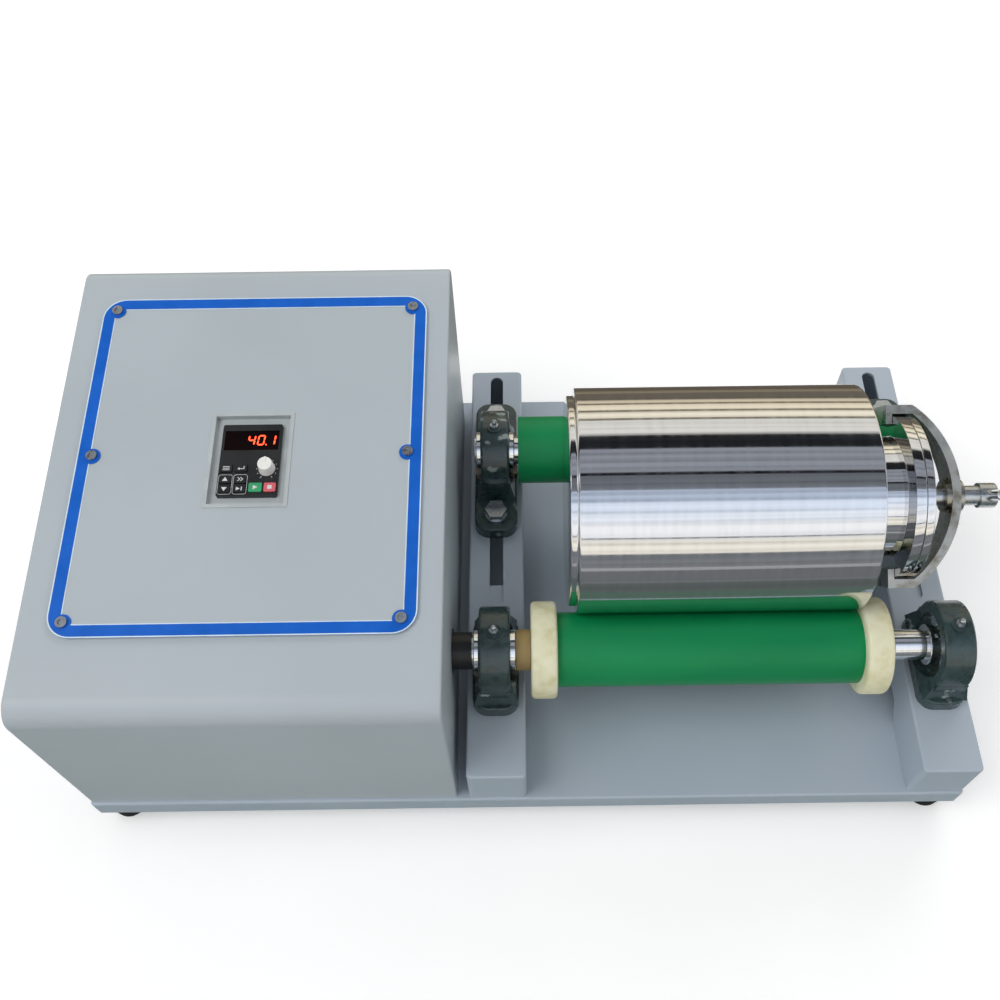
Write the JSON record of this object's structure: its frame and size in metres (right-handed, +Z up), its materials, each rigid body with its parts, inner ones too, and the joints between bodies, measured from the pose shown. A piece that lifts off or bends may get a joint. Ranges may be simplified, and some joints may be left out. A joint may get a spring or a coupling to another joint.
{
  "type": "roller ball mill",
  "caption": "Bench roller ball mill: tilted control housing, green drive and idler rollers in pillow blocks, and a clamped steel jar rolling on them.",
  "frame": {"origin": "on the floor below the centre of the whole part's box", "axes": "+X to the right along the rollers, +Y to the back, +Z up"},
  "size_m": [0.7416, 0.4116, 0.2946],
  "materials": {
    "frame_paint": "light blue-grey powder coat",
    "housing_paint": "light grey powder coat, fine orange peel",
    "trim_blue": "blue printed edge strip, semi-gloss",
    "bezel_grey": "light grey moulded plastic",
    "black_plastic": "black moulded plastic",
    "window_smoke": "smoked red display window",
    "green_key": "green key",
    "red_key": "red key",
    "white_plastic": "white moulded plastic",
    "block_green": "dark green enamelled casting",
    "bright_steel": "ground bright steel",
    "bolt_steel": "zinc plated steel",
    "roller_green": "green polyurethane, satin",
    "nylon_cream": "cream nylon",
    "ochre_bush": "ochre bush",
    "black_steel": "blackened steel",
    "stainless": "turned and polished stainless steel",
    "black_rubber": "black rubber",
    "seal_white": "white silicone",
    "motor_grey": "grey motor paint"
  },
  "bodies": {
    "frame": {"base_pan": "frame_paint", "rubber_feet": "black_rubber", "rail_left": "frame_paint", "rail_right": "frame_paint", "drive_housing": "housing_paint", "control_panel": "housing_paint", "panel_trim": "trim_blue", "panel_screws": "bolt_steel", "controller_bezel": "bezel_grey", "keypad": "black_plastic", "display_window": "window_smoke", "controller_body": "black_plastic", "block_front_left": "block_green", "block_front_right": "block_green", "front_bearing_outer_rings": "bright_steel", "front_grease_nipples": "bolt_steel", "front_block_bolts": "bolt_steel", "geared_motor": "motor_grey", "motor_bracket": "black_steel", "power_inlet": "black_plastic"},
    "front_roller": {"front_shaft": "bright_steel", "front_roller_core": "bolt_steel", "front_roller_cover": "roller_green", "stop_ring_left": "nylon_cream", "stop_ring_right": "nylon_cream", "collar_left": "ochre_bush", "collar_right": "black_steel", "front_bearing_inner_rings": "bright_steel", "drive_sleeve": "black_steel", "motor_output_shaft": "bright_steel"},
    "rear_carriage": {"block_rear_left": "block_green", "block_rear_right": "block_green", "rear_bearing_outer_rings": "bright_steel", "rear_grease_nipples": "bolt_steel", "rear_block_bolts": "bolt_steel", "rear_nut_bars": "bolt_steel"},
    "rear_roller": {"rear_shaft": "bright_steel", "rear_roller_core": "bolt_steel", "rear_roller_cover": "roller_green", "rear_bearing_inner_rings": "bright_steel"},
    "jar": {"jar": "stainless", "jar_neck": "stainless", "jar_seal": "seal_white", "jar_lid": "stainless"},
    "closure": {"clamp_yoke": "stainless"},
    "clamp_pad": {"clamp_pad": "bolt_steel"},
    "clamp_screw": {"clamp_screw": "bolt_steel", "clamp_handle": "bright_steel"},
    "speed_dial": {"speed_dial": "white_plastic"},
    "power_rocker": {"power_rocker": "black_plastic"},
    "key_menu": {"key_menu": "black_plastic"},
    "key_enter": {"key_enter": "black_plastic"},
    "key_up": {"key_up": "black_plastic"},
    "key_down": {"key_down": "black_plastic"},
    "key_shift": {"key_shift": "black_plastic"},
    "key_jog": {"key_jog": "black_plastic"},
    "key_run": {"key_run": "green_key"},
    "key_stop": {"key_stop": "red_key"}
  },
  "joints": [
    {"name": "jar_spin", "type": "hinge", "parent": "frame", "child": "jar", "pos_m": [0.02775, -0.0125, 0.20462], "axis": [1, 0, 0], "continuous": true},
    {"name": "front_roller_spin", "type": "hinge", "parent": "frame", "child": "front_roller", "pos_m": [-0.00225, -0.11025, 0.1345], "axis": [1, 0, 0], "continuous": true},
    {"name": "rear_carriage_slide", "type": "slide", "parent": "frame", "child": "rear_carriage", "axis": [0, 1, 0], "range_m": [0, 0.045]},
    {"name": "rear_roller_spin", "type": "hinge", "parent": "rear_carriage", "child": "rear_roller", "pos_m": [-0.00225, 0.08525, 0.1345], "axis": [1, 0, 0], "continuous": true},
    {"name": "closure_slide", "type": "slide", "parent": "jar", "child": "closure", "axis": [0, -0.524, 0.8517], "range_m": [0, 0.02]},
    {"name": "clamp_pad_slide", "type": "slide", "parent": "closure", "child": "clamp_pad", "axis": [1, 0, 0], "range_m": [0, 0.018]},
    {"name": "clamp_screw_turn", "type": "hinge", "parent": "clamp_pad", "child": "clamp_screw", "pos_m": [0.31155, -0.0125, 0.20462], "axis": [1, 0, 0], "range_deg": [0, 2165]},
    {"name": "speed_dial_turn", "type": "hinge", "parent": "frame", "child": "speed_dial", "pos_m": [-0.2018, -0.01072, 0.25483], "axis": [0, -0.0976, 0.9952], "range_deg": [-150, 150]},
    {"name": "power_rocker_tilt", "type": "hinge", "parent": "frame", "child": "power_rocker", "pos_m": [-0.30075, 0.18325, 0.111], "axis": [1, 0, 0], "range_deg": [0, 20]},
    {"name": "key_menu_press", "type": "slide", "parent": "frame", "child": "key_menu", "axis": [0, 0.0976, -0.9952], "range_m": [0, 0.0006], "stiffness_N_per_m": 500},
    {"name": "key_enter_press", "type": "slide", "parent": "frame", "child": "key_enter", "axis": [0, 0.0976, -0.9952], "range_m": [0, 0.0006], "stiffness_N_per_m": 500},
    {"name": "key_up_press", "type": "slide", "parent": "frame", "child": "key_up", "axis": [0, 0.0976, -0.9952], "range_m": [0, 0.0006], "stiffness_N_per_m": 500},
    {"name": "key_down_press", "type": "slide", "parent": "frame", "child": "key_down", "axis": [0, 0.0976, -0.9952], "range_m": [0, 0.0006], "stiffness_N_per_m": 500},
    {"name": "key_shift_press", "type": "slide", "parent": "frame", "child": "key_shift", "axis": [0, 0.0976, -0.9952], "range_m": [0, 0.0006], "stiffness_N_per_m": 500},
    {"name": "key_jog_press", "type": "slide", "parent": "frame", "child": "key_jog", "axis": [0, 0.0976, -0.9952], "range_m": [0, 0.0006], "stiffness_N_per_m": 500},
    {"name": "key_run_press", "type": "slide", "parent": "frame", "child": "key_run", "axis": [0, 0.0976, -0.9952], "range_m": [0, 0.0006], "stiffness_N_per_m": 500},
    {"name": "key_stop_press", "type": "slide", "parent": "frame", "child": "key_stop", "axis": [0, 0.0976, -0.9952], "range_m": [0, 0.0006], "stiffness_N_per_m": 500}
  ],
  "couplings": [
    {"joint": "front_roller_spin", "follows": "jar_spin", "ratio": -3},
    {"joint": "rear_roller_spin", "follows": "jar_spin", "ratio": -3},
    {"joint": "clamp_screw_turn", "follows": "clamp_pad_slide", "rad_per_m": 2094.4}
  ]
}
